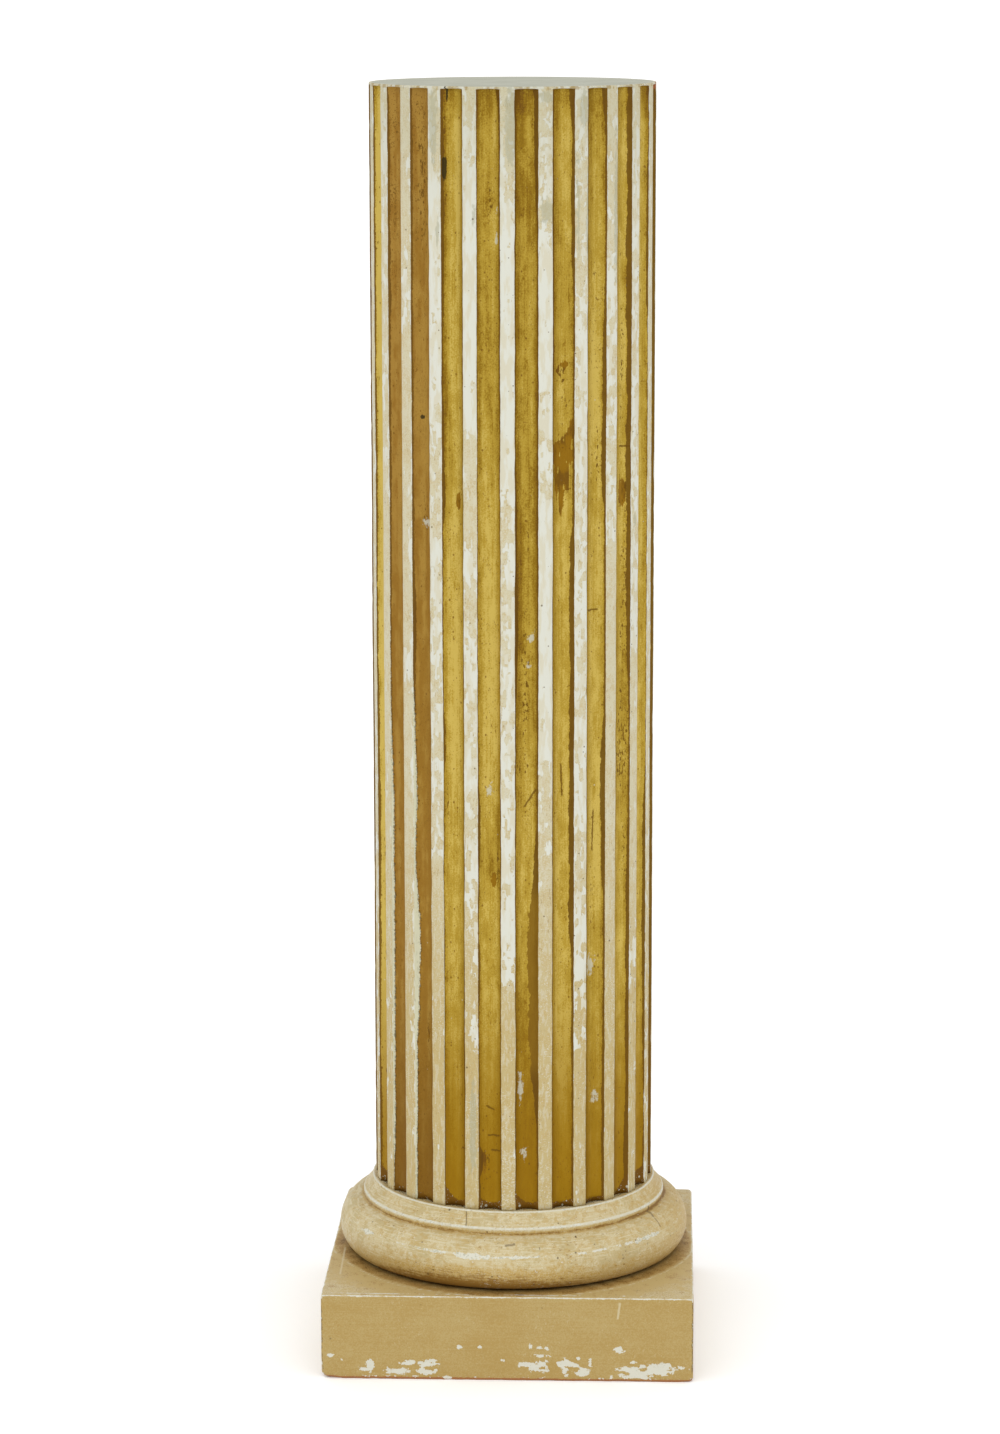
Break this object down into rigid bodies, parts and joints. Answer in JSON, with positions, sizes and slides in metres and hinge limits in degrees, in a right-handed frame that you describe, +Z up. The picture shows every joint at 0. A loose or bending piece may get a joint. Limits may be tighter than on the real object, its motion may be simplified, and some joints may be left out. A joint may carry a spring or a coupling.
{
  "type": "fluted column pedestal",
  "caption": "Tall display pedestal: a round fluted shaft with a flat top on a turned moulded base and a square plinth.",
  "frame": {"origin": "centre of the plinth's underside, on the plane that the pedestal stands on", "axes": "+Z up along the shaft's axis, -Y out of the plinth's front face"},
  "size_m": [0.3138, 0.3138, 1.0777],
  "materials": {
    "ochre_paint": "brushed ochre paint, worn at the edges",
    "cream_paint": "aged cream paint with a fine dark speckle",
    "painted_and_gilded_wood": "aged gilding in the flutes, worn cream paint over white gesso on the fillets"
  },
  "bodies": {
    "root": {"plinth": "ochre_paint", "base_moulding": "cream_paint", "fluted_shaft": "painted_and_gilded_wood"}
  },
  "joints": []
}
